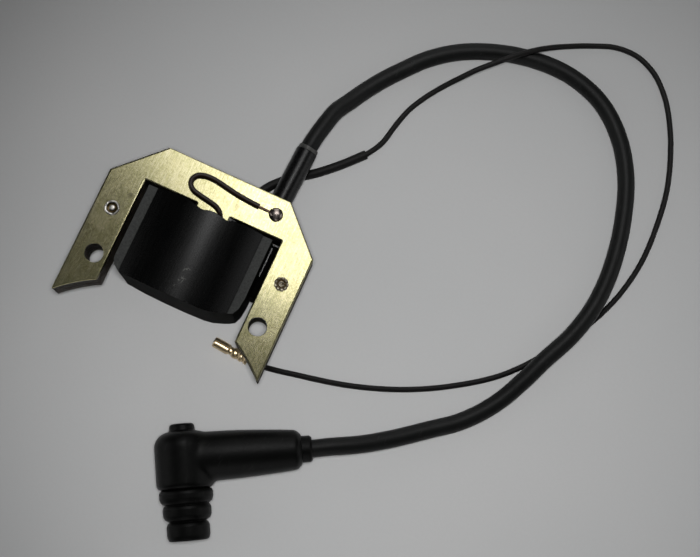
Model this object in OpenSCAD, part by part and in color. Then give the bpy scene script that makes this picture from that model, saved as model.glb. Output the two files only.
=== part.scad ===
// Flywheel ignition coil: laminated E core, potted coil, high-tension lead with a plug cap,
// primary lead with a bullet terminal, and an earth wire soldered to the core.
// Millimetres. Z is up and z = 0 is the resting surface. The crossbar runs along X, the legs
// point to -Y, and the origin is the middle of the core's outline on the resting surface.

/* [Core] */
// width over the two outer legs
core_w = 86; // [70:0.5:110]
// depth from the crossbar's outer edge to the foot tips
core_d = 68.8; // [50:0.2:90]
// thickness of the whole lamination stack
core_t = 15; // [8:0.5:20]
// height of the stack above the resting surface
core_lift = 12.5; // [8:0.5:16]
// 45 degree corner cuts on the crossbar
core_cut = 17.2; // [5:0.2:20]
// width of the crossbar along Y
bar_w = 15.4; // [10:0.2:20]
// clear width between the two outer legs
window_w = 57.6; // [40:0.2:70]
// width of the centre pole that carries the windings
pole_w = 14; // [8:0.5:18]
// radius of the flywheel arc cut into the pole faces
fly_r = 61; // [45:0.5:90]
// thickness of the two plated cheek sheets
cheek_t = 1.2; // [0.5:0.1:2]

/* [Mounting] */
// diameter of the two mounting holes
hole_d = 7.2; // [5:0.1:9]
// distance between the two mounting holes
hole_pitch = 68.6; // [50:0.2:80]
// distance of the mounting holes from the crossbar's outer edge
hole_back = 49.5; // [30:0.5:60]
// distance between the two core rivets
rivet_pitch = 71.4; // [50:0.2:80]
// distance of the rivets from the crossbar's outer edge
rivet_back = 30.8; // [20:0.2:45]

/* [Coil] */
// width of the moulded case
case_w = 51.6; // [40:0.2:56]
// height of the case from the resting surface to the top of its barrel
case_h = 40.5; // [30:0.5:45]
// height of the flat shoulders beside the barrel
shoulder_z = 32.5; // [28:0.5:36]
// width of the barrel between the shoulders
barrel_w = 44; // [30:0.5:48]
// wall thickness of the case
case_wall = 1.6; // [1:0.1:3]
// how far the case reaches towards the crossbar
case_back = 17; // [14:0.1:18.5]
// how far the case reaches towards the flywheel
case_front = 19; // [15:0.1:22]
// width of the ledge beside the right core leg
ledge_w = 2.5; // [1:0.1:2.8]

/* [Leads] */
// diameter of the high-tension lead
ht_d = 7; // [5:0.5:9]
// outside diameter of the sleeve at the coil
ht_sleeve_d = 8.8; // [8:0.1:10]
// diameter of the primary lead
prim_d = 2.3; // [1.5:0.1:4]
// outside diameter of the primary lead's sleeve
prim_sleeve_d = 3.8; // [3:0.1:5]
// diameter of the earth wire
earth_d = 2; // [1:0.1:3]

/* [Plug cap] */
// diameter of the cap's head
head_d = 22.2; // [18:0.2:28]
// length of the arm from the elbow to its rounded end
arm_l = 45.7; // [30:0.1:60]
// inside diameter of the plug boot
boot_bore_d = 11; // [9:0.1:13]
// inside diameter of the terminal clip
clip_bore_d = 6.5; // [4:0.1:8]

/* [Hidden] */
$fn = 48;
half_w = core_w / 2;
half_d = core_d / 2;
core_z0 = core_lift;
core_z1 = core_lift + core_t;
core_zc = core_lift + core_t / 2;
bar_y = half_d - bar_w;
fly_y = -half_d - sqrt(fly_r * fly_r - half_w * half_w);
hole_y = half_d - hole_back;
rivet_y = half_d - rivet_back;
pin_x = 22.6;
pin_y = 27.4;
rivet_r = 2;
pin_r = 1.2;
pin_l = 8;

barrel_rise = case_h - shoulder_z - 0.8;
barrel_r = (barrel_w * barrel_w / 4 + barrel_rise * barrel_rise) / (2 * barrel_rise);
barrel_zc = case_h - barrel_r;
base_cut = 4;
cavity_front = 14.6;
pole_gap = 0.1;
bobbin_wall = 1.3;
flange_t = 1.2;
flange_back = 15.2;
wind_back = flange_back - flange_t;
wind_front = -cavity_front + flange_t;
wind_l = wind_back - wind_front;
bob_x = pole_w + 2 * pole_gap;
bob_z = core_t + 2 * pole_gap;
prim_x = bob_x + 2 * bobbin_wall;
prim_z = bob_z + 2 * bobbin_wall;
wrap_x = prim_x + 6;
wrap_z = prim_z + 6;
sec_x = wrap_x + 1;
sec_z = wrap_z + 1;
flange_x = 40;
flange_z = 32;

ht_r = ht_d / 2;
sleeve_a = [19.4, case_back, 6.9];
sleeve_b = [21.5, 60, 9.05];
cap_at = [27.33, -69.04, head_d / 2];
cap_turn = 29;
arm_turn = -0.6;
arm_drop = 3;
head_round = 6.2;
lead_stop = 26;
seal_l = 4;
seal_r = 5.2;
cap_z = head_d / 2;
arm_dir = cap_turn + arm_turn;
arm_at = [for (s = [51.7, lead_stop])
  [cap_at.x + arm_drop * sin(cap_turn) + s * cos(arm_dir),
    cap_at.y - arm_drop * cos(cap_turn) + s * sin(arm_dir), cap_z]];
ht_route = concat([sleeve_a, sleeve_b],
  [
    [21.6, 62, 9.15], [22.2, 67, 9], [23.5, 74, 8.2], [25, 80.5, 7], [28, 86.5, 5.6],
    [32.5, 95, 4.2], [38, 103.5, 3.6], [43.5, 110.5, 3.5], [49, 117, 3.5], [60, 126, 3.5],
    [74.5, 133, 3.5], [91, 137, 3.5], [108, 137, 3.5], [124, 131.5, 3.5], [137, 120, 3.5],
    [145.5, 106, 3.5], [150.5, 91, 3.6], [153.5, 74, 4.4], [154, 62, 5.4], [153, 50, 6],
    [149.5, 36.5, 6.1], [143, 22, 6], [138.5, 11, 5.2], [132.5, -1, 4.2], [122, -14, 4.2],
    [112, -22, 5], [97, -33.5, 7.6], [89, -38.8, 9.4], [82.6, -42.4, 10.6], [78.3, -44.7, 11.1]
  ],
  arm_at);
prim_route = [
  [9.5, case_back, 5.6], [8.8, 26, 4], [9.6, 35, 2.6], [12.6, 41, 2], [19, 48, 1.9], [27, 54, 1.9],
  [35.6, 62, 1.9], [43.4, 70.6, 1.9], [47.4, 78, 1.3], [49.4, 87, 1.2], [52, 96, 1.2],
  [56, 103.6, 1.5], [61, 110.4, 3.6], [66, 116, 6.2], [70.5, 121, 8], [76, 126.5, 8.8],
  [83.5, 134, 8.7], [89.5, 139.5, 7.6], [103, 149.6, 2.8], [111, 154, 1.4], [121, 157.8, 1.2],
  [130, 158, 1.2], [139, 154.4, 1.2], [147, 147, 1.2], [154, 136, 1.2], [159.5, 123, 1.2],
  [163.4, 109, 1.2], [165, 94, 1.2], [165, 78, 1.2], [161.6, 60.4, 1.2], [154, 42.5, 1.2],
  [143.5, 26, 1.2], [130.5, 10.6, 1.2], [114.5, -1.4, 1.2], [97.5, -10.8, 1.2], [78, -18.2, 1.2],
  [56, -23.4, 1.2], [40, -26.2, 1.7], [34.5, -26.3, 2.2], [29.5, -25.9, 2.2]];
earth_route = [[3.6, case_back, 26.2], [3.5, 17.6, 28], [2.6, 19, 28.9], [0.6, 20.4, 28.6],
  [-2.5, 21.2, 28.55], [-7, 22, 28.55], [-10.6, 23, 28.55], [-12.3, 24.6, 28.55],
  [-12.6, 26.6, 28.55], [-11.4, 28.6, 28.55], [-9, 29.7, 28.55], [-6, 30, 28.55],
  [-1.5, 29.5, 28.55], [3, 28.7, 28.55], [7.5, 28.1, 28.55], [12, 27.7, 28.55],
  [15.4, 27.5, 28.55]];
spring_route = [for (i = [0 : 44]) [2 * cos(i * 32), 2 * sin(i * 32), 0.35 + i * 0.12]];

// a closed tube swept along a route; a bore radius of 0 makes it solid
function unit(v) = v / norm(v);
function tangent(p, i) = unit(i == 0 ? p[1] - p[0]
  : i == len(p) - 1 ? p[i] - p[i - 1] : unit(p[i] - p[i - 1]) + unit(p[i + 1] - p[i]));
function side_of(t) = unit(cross(t, [0, 0, 1]));
function ring(p, i, r, n) = let (t = tangent(p, i), s = side_of(t), u = cross(s, t))
  [for (k = [0 : n - 1]) p[i] + r * (cos(k * 360 / n) * s + sin(k * 360 / n) * u)];
module sweep(p, r, n) {
  m = len(p);
  pts = [for (i = [0 : m - 1]) each ring(p, i, r, n)];
  skin = [for (i = [0 : m - 2]) for (k = [0 : n - 1])
    let (a = i * n + k, b = i * n + (k + 1) % n) each [[a, b, b + n], [a, b + n, a + n]]];
  polyhedron(pts, concat([[for (k = [n - 1 : -1 : 0]) k]], skin,
    [[for (k = [0 : n - 1]) (m - 1) * n + k]]), convexity = 10);
}
module sweep_tube(p, r, rb, n) {
  m = len(p);
  w = m * n;
  pts = concat([for (i = [0 : m - 1]) each ring(p, i, r, n)],
    [for (i = [0 : m - 1]) each ring(p, i, rb, n)]);
  skin = [for (i = [0 : m - 2]) for (k = [0 : n - 1])
    let (a = i * n + k, b = i * n + (k + 1) % n) each [[a, b, b + n], [a, b + n, a + n]]];
  bore = [for (i = [0 : m - 2]) for (k = [0 : n - 1])
    let (a = w + i * n + k, b = w + i * n + (k + 1) % n) each [[a, b + n, b], [a, a + n, b + n]]];
  e = (m - 1) * n;
  ends = [for (k = [0 : n - 1]) let (j = (k + 1) % n)
    each [[k, w + k, w + j, j], [e + k, e + j, w + e + j, w + e + k]]];
  polyhedron(pts, concat(skin, bore, ends), convexity = 10);
}

// flat shapes
module rounded(w, h, r) {
  square([w - 2 * r, h], center = true);
  square([w, h - 2 * r], center = true);
  for (x = [-1, 1]) for (y = [-1, 1])
    translate([x * (w / 2 - r), y * (h / 2 - r)]) circle(r);
}
module core_outline() {
  difference() {
    polygon([[-half_w, -half_d - 4], [-half_w, half_d - core_cut], [-half_w + core_cut, half_d],
      [half_w - core_cut, half_d], [half_w, half_d - core_cut], [half_w, -half_d - 4]]);
    for (s = [-1, 1])
      translate([s * (window_w / 2 + pole_w / 2) / 2, bar_y - 35])
        square([(window_w - pole_w) / 2, 70], center = true);
    translate([0, fly_y]) circle(fly_r, $fn = 180);
  }
}
module sheet(z, t) {
  difference() {
    translate([0, 0, z]) linear_extrude(t) core_outline();
    for (s = [-1, 1]) {
      translate([s * hole_pitch / 2, hole_y, z - 1]) cylinder(r = hole_d / 2, h = t + 2);
      translate([s * rivet_pitch / 2, rivet_y, z - 1]) cylinder(r = rivet_r, h = t + 2);
    }
    if (z + t > core_z1 - pin_l)
      translate([pin_x, pin_y, core_z1 - pin_l]) cylinder(r = pin_r, h = pin_l + 2);
  }
}
// along Y, from y0 to y1, of a shape drawn in X and Z
module along_y(y0, y1) {
  translate([0, y1, 0]) rotate([90, 0, 0]) linear_extrude(y1 - y0) children();
}
module along_x(w) {
  rotate([90, 0, 90]) translate([0, 0, -w / 2]) linear_extrude(w) children();
}
module case_section(wall) {
  x = case_w / 2 - wall;
  z = shoulder_z - wall;
  polygon([[-x, z], [-x, base_cut + 1], [-x + base_cut, wall], [x - base_cut, wall],
    [x, base_cut + 1], [x, z]]);
  intersection() {
    translate([0, barrel_zc]) circle(barrel_r - wall, $fn = 144);
    translate([-barrel_w / 2 + wall, z - 3]) square([barrel_w - 2 * wall, 20]);
  }
}
// plan of the case: a slightly bowed front, and corners cut back more on the right
module case_plan() {
  x = case_w / 2;
  f = -case_front;
  polygon([[x, case_back], [-x, case_back], [-x, f + 5], [1.2 - x, f + 2.6], [3.8 - x, f + 0.8],
    [-14, f + 0.1], [-4.6, f - 0.2], [4.9, f - 0.2], [11.9, f + 0.05], [15.7, f + 0.6],
    [20, f + 2.2], [x - 1.8, f + 4], [x - 0.5, f + 6.6], [x, f + 11]]);
}
module case_fill() {
  x = case_w / 2 - case_wall;
  f = -cavity_front;
  intersection() {
    along_y(f, case_back + 1) case_section(case_wall);
    linear_extrude(case_h + 1) polygon([[x, case_back + 2], [-x, case_back + 2], [-x, f + 1.4],
      [1.4 - x, f], [19.6, f], [x - 1, f + 1.6], [x - 0.2, f + 4.1], [x, f + 6]]);
  }
}
module winding(x_in, z_in, x_out, z_out, r_in, r_out) {
  along_y(wind_front, wind_back) translate([0, core_zc]) difference() {
    rounded(x_out, z_out, r_out);
    rounded(x_in, z_in, r_in);
  }
}
module bobbin_space() {
  along_y(-cavity_front, flange_back) translate([0, core_zc]) rounded(flange_x, flange_z, 8);
}

// the core
module core_laminations() {
  color("dimgray") sheet(core_z0 + cheek_t, core_t - 2 * cheek_t);
}
module core_cheek_top() {
  color("gold") sheet(core_z1 - cheek_t, cheek_t);
}
module core_cheek_bottom() {
  color("gold") sheet(core_z0, cheek_t);
}
module rivet_left() {
  color("silver") translate([-rivet_pitch / 2, rivet_y, 0]) rotate_extrude()
    polygon([[0, core_z0 - 0.6], [2.4, core_z0 - 0.6], [2.8, core_z0], [rivet_r, core_z0],
      [rivet_r, core_z1], [2.9, core_z1], [2.9, core_z1 + 0.2], [2.6, core_z1 + 0.45],
      [2.25, core_z1 + 0.2], [1.6, core_z1 - 0.5], [1.4, core_z1 + 0.1], [0.8, core_z1 + 0.5],
      [0, core_z1 + 0.6]]);
}
module rivet_right() {
  color("silver") translate([rivet_pitch / 2, rivet_y, 0]) rotate_extrude()
    polygon([[0, core_z0 - 0.6], [2.4, core_z0 - 0.6], [2.8, core_z0], [rivet_r, core_z0],
      [rivet_r, core_z1], [2.8, core_z1], [2.7, core_z1 + 0.3], [2.2, core_z1 + 0.6],
      [1.5, core_z1 + 0.3], [1.1, core_z1 + 0.1], [0, core_z1 + 0.1]]);
}
module earth_pin() {
  color("peru") translate([pin_x, pin_y, core_z1 - pin_l]) cylinder(r = pin_r, h = pin_l);
}
module earth_solder() {
  color("lightgray") translate([pin_x, pin_y, core_z1]) intersection() {
    translate([0, 0, -0.85]) sphere(r = 2.85, $fn = 48);
    cylinder(r = 4, h = 4);
  }
}
module earth_wire_end() {
  color("peru") translate([15.4, 27.5, 28.55]) rotate([0, 95, -1.5]) cylinder(r = 0.4, h = 4.6);
}
module earth_wire() {
  color("saddlebrown") sweep(earth_route, earth_d / 2, 8);
}

// the coil
module coil_case() {
  color("black") union() {
    difference() {
      intersection() {
        along_y(-case_front - 1, case_back) case_section(0);
        linear_extrude(case_h + 1) case_plan();
      }
      case_fill();
      translate([0, -16, core_zc]) cube([pole_w + 0.1, 2.3, core_t + 0.1], center = true);
    }
    translate([case_w / 2 - 0.8, -5, base_cut + 1])
      cube([ledge_w + 0.8, case_back + 5, 16.5]);
  }
}
module potting_resin() {
  color("black") difference() {
    intersection() {
      case_fill();
      translate([-case_w, -case_w, 0]) cube([2 * case_w, case_w + case_back, case_h]);
    }
    bobbin_space();
    translate([0, 0, core_zc])
      cube([pole_w + 0.1, 2 * case_back + 2, core_t + 0.1], center = true);
    translate([sleeve_a.x, case_back - 7, sleeve_a.z]) rotate([-90, 0, 0])
      cylinder(r = 0.9, h = 8);
  }
}
module bobbin() {
  color("saddlebrown") difference() {
    union() {
      along_y(-cavity_front, flange_back) translate([0, core_zc]) rounded(prim_x, prim_z, 1);
      for (y = [-cavity_front, wind_back])
        along_y(y, y + flange_t) translate([0, core_zc]) rounded(flange_x, flange_z, 8);
    }
    translate([0, 0, core_zc]) cube([bob_x, 60, bob_z], center = true);
  }
}
module primary_winding() {
  color("peru") winding(prim_x, prim_z, wrap_x, wrap_z, 1, 3);
}
module layer_wrap() {
  color("khaki") winding(wrap_x, wrap_z, sec_x, sec_z, 3, 3.5);
}
module secondary_winding() {
  color("chocolate") difference() {
    along_y(wind_front, wind_back) translate([0, core_zc]) rounded(flange_x, flange_z, 8);
    along_y(wind_front - 1, wind_back + 1) translate([0, core_zc]) rounded(sec_x, sec_z, 3.5);
  }
}
module ht_contact() {
  color("goldenrod") translate([sleeve_a.x, case_back - 7, sleeve_a.z]) rotate([-90, 0, 0])
    cylinder(r = 0.9, h = 7);
}

// the high-tension lead
module ht_sleeve() {
  color("black") sweep_tube([sleeve_a, sleeve_b], ht_sleeve_d / 2, ht_r + 0.05, 12);
}
module ht_sleeve_collar() {
  color("gray") sweep_tube([sleeve_b, sleeve_b + (sleeve_b - sleeve_a) * 0.035],
    ht_sleeve_d / 2 - 0.3, ht_r + 0.05, 12);
}
module ht_lead() {
  color("dimgray") sweep(ht_route, ht_r, 12);
}

// the plug cap, drawn with the plug's axis along -Y and the arm along +X
module cap_frame() {
  translate(cap_at) rotate([0, 0, cap_turn]) children();
}
module arm_frame() {
  cap_frame() translate([0, -arm_drop, 0]) rotate([0, 0, arm_turn]) rotate([0, 90, 0])
    children();
}
module plug_frame() {
  cap_frame() rotate([90, 0, 0]) children();
}
module cap_body() {
  color("black") difference() {
    union() {
      plug_frame() rotate_extrude() {
        polygon(concat([[0, -7.4]], [for (a = [-90 : 10 : 0])
          [head_d / 2 - head_round * (1 - cos(a)), head_round * (1 + sin(a)) - 7.4]],
          [[head_d / 2, 12.9], [head_d / 2 - 0.4, 14.1], [9.75, 14.7], [0, 14.7]]));
        translate([0, -10.3]) square([4.9, 4.4]);
      }
      arm_frame() rotate_extrude() polygon([[0, 0], [9.7, 0], [9.6, 13], [9.3, 21], [8.9, 28],
        [8.3, 37], [7.8, arm_l - 3], [7.2, arm_l - 1], [6.6, arm_l - 0.3], [5.8, arm_l], [0, arm_l]]);
    }
    arm_frame() translate([0, 0, lead_stop]) cylinder(r = ht_r + 0.1, h = 30);
    arm_frame() cylinder(r = 2.7, h = 40);
    plug_frame() translate([0, 0, 6]) cylinder(r = 7, h = 19);
    plug_frame() translate([0, 0, 13.7]) cylinder(r1 = 7, r2 = 7.9, h = 1.1);
    plug_frame() translate([0, 0, -2.4]) cylinder(r = 2.2, h = 10);
  }
}
module cap_boot() {
  color("black") plug_frame() rotate_extrude() polygon([[5.9, 8.5], [7, 8.5], [7, 14.7],
    [9.2, 14.7], [10.1, 15.4], [10.4, 16.4], [10.35, 18.2], [9.8, 19.7], [8.45, 20.7],
    [9, 21.3], [9.3, 22.2], [9.2, 24.9], [8.6, 26.2], [7, 27.1], [7.8, 27.8], [8.2, 28.7],
    [8.2, 32.5], [7.8, 33.8], [7.2, 34.3], [boot_bore_d / 2, 34.3], [boot_bore_d / 2, 16],
    [5.9, 16]]);
}
module cap_seal() {
  color("dimgray") arm_frame() translate([0, 0, arm_l]) difference() {
    cylinder(r = seal_r, h = seal_l);
    translate([0, 0, -1]) cylinder(r = ht_r + 0.1, h = seal_l + 2);
  }
}
module plug_clip() {
  color("goldenrod") plug_frame() difference() {
    union() {
      translate([0, 0, 6]) cylinder(r = 6.8, h = 1);
      translate([0, 0, 6]) cylinder(r = 4.6, h = 9.5);
      translate([0, 0, -2]) cylinder(r = 2, h = 9);
    }
    translate([0, 0, 7.5]) cylinder(r = clip_bore_d / 2, h = 10);
  }
}
module cap_resistor() {
  color("white") arm_frame() translate([0, 0, 2.1]) cylinder(r = 2.6, h = 15.9);
}
module cap_spring() {
  color("silver") arm_frame() translate([0, 0, 18]) sweep(spring_route, 0.3, 6);
}
module lead_screw() {
  color("goldenrod") arm_frame() {
    translate([0, 0, 24]) cylinder(r = 2.5, h = 2);
    translate([0, 0, 26]) cylinder(r1 = 1, r2 = 0.4, h = 7);
  }
}

// the primary lead
module primary_sleeve() {
  color("black") sweep_tube([for (i = [0 : 7]) prim_route[i]], prim_sleeve_d / 2,
    prim_d / 2 + 0.15, 8);
}
module primary_lead() {
  color("black") sweep(prim_route, prim_d / 2, 8);
}
module bullet_terminal() {
  color("gold") translate([19.5, -25.1, 2.2]) rotate([0, 90, -4.6]) rotate_extrude()
    polygon([[0, 3], [1.5, 3], [1.5, 0], [1.9, 0], [2.15, 0.4], [2.15, 6.8], [1.65, 7.4],
      [1.65, 8.3], [2.1, 8.9], [2.2, 9.4], [2.2, 15.4], [1.3, 15.4], [1.3, 10], [0, 10]]);
}

core_laminations();
core_cheek_top();
core_cheek_bottom();
rivet_left();
rivet_right();
earth_pin();
earth_solder();
earth_wire_end();
earth_wire();
coil_case();
potting_resin();
bobbin();
primary_winding();
layer_wrap();
secondary_winding();
ht_contact();
ht_sleeve();
ht_sleeve_collar();
ht_lead();
cap_body();
cap_boot();
cap_seal();
plug_clip();
cap_resistor();
cap_spring();
lead_screw();
primary_sleeve();
primary_lead();
bullet_terminal();
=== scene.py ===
"""Flywheel ignition coil: the looks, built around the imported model. Metres, in the row frame."""

import math

import bmesh
import bpy
import numpy as np
from mathutils import Matrix, Vector, noise
from mathutils.geometry import tessellate_polygon


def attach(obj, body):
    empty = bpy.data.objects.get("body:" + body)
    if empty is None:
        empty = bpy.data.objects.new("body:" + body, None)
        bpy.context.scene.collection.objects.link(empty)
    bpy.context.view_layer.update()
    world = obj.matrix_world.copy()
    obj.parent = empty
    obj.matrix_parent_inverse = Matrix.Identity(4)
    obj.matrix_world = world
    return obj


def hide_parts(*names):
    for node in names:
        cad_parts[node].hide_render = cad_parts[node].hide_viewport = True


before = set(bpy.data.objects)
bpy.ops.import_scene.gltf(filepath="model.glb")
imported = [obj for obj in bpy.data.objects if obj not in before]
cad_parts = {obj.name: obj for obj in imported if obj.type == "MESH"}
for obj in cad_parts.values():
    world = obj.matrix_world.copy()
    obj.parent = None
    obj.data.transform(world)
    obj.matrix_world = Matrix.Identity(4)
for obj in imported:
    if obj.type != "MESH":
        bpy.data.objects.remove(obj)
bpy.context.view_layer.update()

MM = 0.001
rng = np.random.default_rng(7)

# ---------------------------------------------------------------- camera
scene = bpy.context.scene
cam_data = bpy.data.cameras.new("camera")
cam_data.sensor_width = 36.0
cam_data.lens = 66.86
cam_data.clip_start = 0.01
cam_data.clip_end = 20.0
cam = bpy.data.objects.new("camera", cam_data)
scene.collection.objects.link(cam)
forward = Vector((-0.0124, 0.1633, -0.9865)).normalized()
up = Vector((-0.4114, 0.8984, 0.1539))
right = forward.cross(up).normalized()
up = right.cross(forward).normalized()
cam.matrix_world = (
    Matrix.Translation(Vector((65.01, -65.14, 521.2)) * MM)
    @ Matrix((right, up, -forward)).transposed().to_4x4()
)
scene.camera = cam
scene.view_settings.view_transform = "Standard"

# ---------------------------------------------------------------- dimensions, in millimetres
HALF_W, HALF_D = 43.0, 34.4
CORE_Z0, CORE_Z1, CHEEK_T = 12.5, 27.5, 1.2
CORE_CUT, BAR_Y = 17.2, 19.0
WINDOW_X, POLE_X = 28.8, 7.0
FLY_R, FLY_Y = 61.0, -77.667
HOLE_R, HOLE_X, HOLE_Y = 3.6, 34.3, -15.1
RIVET_X, RIVET_Y = 35.7, 3.6
PIN_X, PIN_Y = 22.6, 27.4
CASE_X, CASE_BACK, CASE_FRONT, CASE_TOP = 25.8, 17.0, 19.0, 40.5
SHOULDER_Z, BARREL_X, BARREL_R, BARREL_ZC = 32.5, 22.0, 37.21, 3.29
LEDGE_X, LEDGE_Z = 28.3, 21.5
HT_D, SLEEVE_R = 7.0, 4.4
PRIM_D, PRIM_SLEEVE_R = 2.3, 1.9
EARTH_D = 2.0
CAP_AT = Vector((27.33, -69.04, 11.1))
CAP_TURN, ARM_TURN = math.radians(29), math.radians(-0.6)
ARM_L, ARM_DROP = 45.7, 3.0
HEAD_R = 11.1
SLEEVE_A = Vector((19.4, 17.0, 6.9))
SLEEVE_B = Vector((21.5, 60.0, 9.05))

ARM_DIR = Vector((math.cos(CAP_TURN + ARM_TURN), math.sin(CAP_TURN + ARM_TURN), 0))
CAP_FRAME = Matrix.Translation(CAP_AT) @ Matrix.Rotation(CAP_TURN, 4, "Z")
ARM_AT = CAP_FRAME @ Vector((0, -ARM_DROP, 0))
PLUG_FRAME = CAP_FRAME @ Matrix.Rotation(math.radians(90), 4, "X")
ARM_FRAME = (
    Matrix.Translation(ARM_AT) @ Matrix.Rotation(CAP_TURN + ARM_TURN, 4, "Z")
    @ Matrix.Rotation(math.radians(90), 4, "Y")
)

HT_ROUTE = [
    tuple(SLEEVE_A), tuple(SLEEVE_B),
    (21.6, 62, 9.15), (22.2, 67, 9), (23.5, 74, 8.2), (25, 80.5, 7), (28, 86.5, 5.6),
    (32.5, 95, 4.2), (38, 103.5, 3.6), (43.5, 110.5, 3.5), (49, 117, 3.5), (60, 126, 3.5),
    (74.5, 133, 3.5), (91, 137, 3.5), (108, 137, 3.5), (124, 131.5, 3.5), (137, 120, 3.5),
    (145.5, 106, 3.5), (150.5, 91, 3.6), (153.5, 74, 4.4), (154, 62, 5.4), (153, 50, 6),
    (149.5, 36.5, 6.1), (143, 22, 6), (138.5, 11, 5.2), (132.5, -1, 4.2), (122, -14, 4.2),
    (112, -22, 5), (97, -33.5, 7.6), (89, -38.8, 9.4), (82.6, -42.4, 10.6), (78.3, -44.7, 11.1),
    tuple(ARM_AT + ARM_DIR * 51.7), tuple(ARM_AT + ARM_DIR * 26),
]
PRIM_ROUTE = [
    (9.5, 17, 5.6), (8.8, 26, 4), (9.6, 35, 2.6), (12.6, 41, 2), (19, 48, 1.9), (27, 54, 1.9),
    (35.6, 62, 1.9), (43.4, 70.6, 1.9), (47.4, 78, 1.3), (49.4, 87, 1.2), (52, 96, 1.2),
    (56, 103.6, 1.5), (61, 110.4, 3.6), (66, 116, 6.2), (70.5, 121, 8), (76, 126.5, 8.8),
    (83.5, 134, 8.7), (89.5, 139.5, 7.6), (103, 149.6, 2.8), (111, 154, 1.4), (121, 157.8, 1.2),
    (130, 158, 1.2), (139, 154.4, 1.2), (147, 147, 1.2), (154, 136, 1.2), (159.5, 123, 1.2),
    (163.4, 109, 1.2), (165, 94, 1.2), (165, 78, 1.2), (161.6, 60.4, 1.2), (154, 42.5, 1.2),
    (143.5, 26, 1.2), (130.5, 10.6, 1.2), (114.5, -1.4, 1.2), (97.5, -10.8, 1.2), (78, -18.2, 1.2),
    (56, -23.4, 1.2), (40, -26.2, 1.7), (34.5, -26.3, 2.2), (29.5, -25.9, 2.2),
]
EARTH_ROUTE = [
    (3.6, 17, 26.2), (3.5, 17.6, 28), (2.6, 19, 28.9), (0.6, 20.4, 28.6), (-2.5, 21.2, 28.55),
    (-7, 22, 28.55), (-10.6, 23, 28.55), (-12.3, 24.6, 28.55), (-12.6, 26.6, 28.55),
    (-11.4, 28.6, 28.55), (-9, 29.7, 28.55), (-6, 30, 28.55), (-1.5, 29.5, 28.55),
    (3, 28.7, 28.55), (7.5, 28.1, 28.55), (12, 27.7, 28.55), (15.4, 27.5, 28.55),
]


# ---------------------------------------------------------------- mesh helpers
def mark_sharp(me, degrees=32.0):
    """Smooth faces, with edges steeper than this many degrees kept sharp."""
    bm = bmesh.new()
    bm.from_mesh(me)
    limit = math.radians(degrees)
    for f in bm.faces:
        f.smooth = True
    for e in bm.edges:
        e.smooth = not (len(e.link_faces) == 2 and e.calc_face_angle(0.0) > limit)
    bm.to_mesh(me)
    bm.free()


def mesh_object(name, verts, faces, weld=1e-7, sharp=32.0):
    """A mesh from points in millimetres, closed up, with outward normals."""
    me = bpy.data.meshes.new(name)
    me.from_pydata([Vector(v) * MM for v in verts], [], faces)
    bm = bmesh.new()
    bm.from_mesh(me)
    bmesh.ops.remove_doubles(bm, verts=bm.verts, dist=weld)
    bmesh.ops.dissolve_degenerate(bm, edges=bm.edges, dist=weld)
    bmesh.ops.recalc_face_normals(bm, faces=bm.faces)
    bm.to_mesh(me)
    bm.free()
    mark_sharp(me, sharp)
    ob = bpy.data.objects.new(name, me)
    scene.collection.objects.link(ob)
    return ob


def bake_modifiers(ob, sharp=32.0):
    """Applies the modifiers on ob and sets its shading again."""
    deps = bpy.context.evaluated_depsgraph_get()
    me = bpy.data.meshes.new_from_object(ob.evaluated_get(deps))
    ob.modifiers.clear()
    old, ob.data = ob.data, me
    bpy.data.meshes.remove(old)
    mark_sharp(me, sharp)
    return ob


def boolean(ob, other, operation, sharp=32.0):
    """Joins or cuts ob with another object, which is then removed."""
    m = ob.modifiers.new("boolean", "BOOLEAN")
    m.operation, m.solver, m.object = operation, "EXACT", other
    bake_modifiers(ob, sharp)
    bpy.data.objects.remove(other)
    return ob


def join(ob, other):
    """Adds another object's mesh to ob as it is; the other object is then removed."""
    bm = bmesh.new()
    bm.from_mesh(ob.data)
    bm.from_mesh(other.data)
    bm.to_mesh(ob.data)
    bm.free()
    bpy.data.objects.remove(other)
    return ob


def fillet(points, radius, steps=4, closed=True):
    """A 2-D polyline with its corners rounded. radius is one number, or one for each point."""
    n, out = len(points), []
    for i in range(n):
        p = Vector(points[i])
        r = radius[i] if isinstance(radius, (list, tuple)) else radius
        if r <= 0 or (not closed and i in (0, n - 1)):
            out.append(tuple(p))
            continue
        a, b = Vector(points[i - 1]), Vector(points[(i + 1) % n])
        u, v = (a - p), (b - p)
        lu, lv = u.length, v.length
        if lu < 1e-9 or lv < 1e-9:
            continue
        turn = math.pi - u.angle(v)
        if turn < math.radians(8):
            out.append(tuple(p))
            continue
        cut = min(r * math.tan(turn / 2), lu * 0.45, lv * 0.45)
        s, e = p + u / lu * cut, p + v / lv * cut
        for k in range(steps + 1):
            t = k / steps
            out.append(tuple(s * (1 - t) ** 2 + p * 2 * t * (1 - t) + e * t * t))
    return out


def resample(points, step):
    """A closed 2-D loop with points added so that no side is longer than step."""
    out = []
    for i, p in enumerate(points):
        a, b = Vector(p), Vector(points[(i + 1) % len(points)])
        n = max(1, math.ceil((b - a).length / step))
        out += [tuple(a.lerp(b, k / n)) for k in range(n)]
    return out


def inset(loop, d):
    """A closed loop moved to its left by d, with mitred corners: the left side is material."""
    n, out = len(loop), []
    for i in range(n):
        a, p, b = Vector(loop[i - 1]), Vector(loop[i]), Vector(loop[(i + 1) % n])
        u, v = (p - a).normalized(), (b - p).normalized()
        nu, nv = Vector((-u.y, u.x)), Vector((-v.y, v.x))
        m = (nu + nv).normalized()
        out.append(tuple(p + m * (d / max(m.dot(nu), 0.35))))
    return out


def circle(cx, cy, r, n, clockwise=False):
    s = -1 if clockwise else 1
    return [
        (cx + r * math.cos(s * 2 * math.pi * k / n), cy + r * math.sin(s * 2 * math.pi * k / n))
        for k in range(n)
    ]


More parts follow.
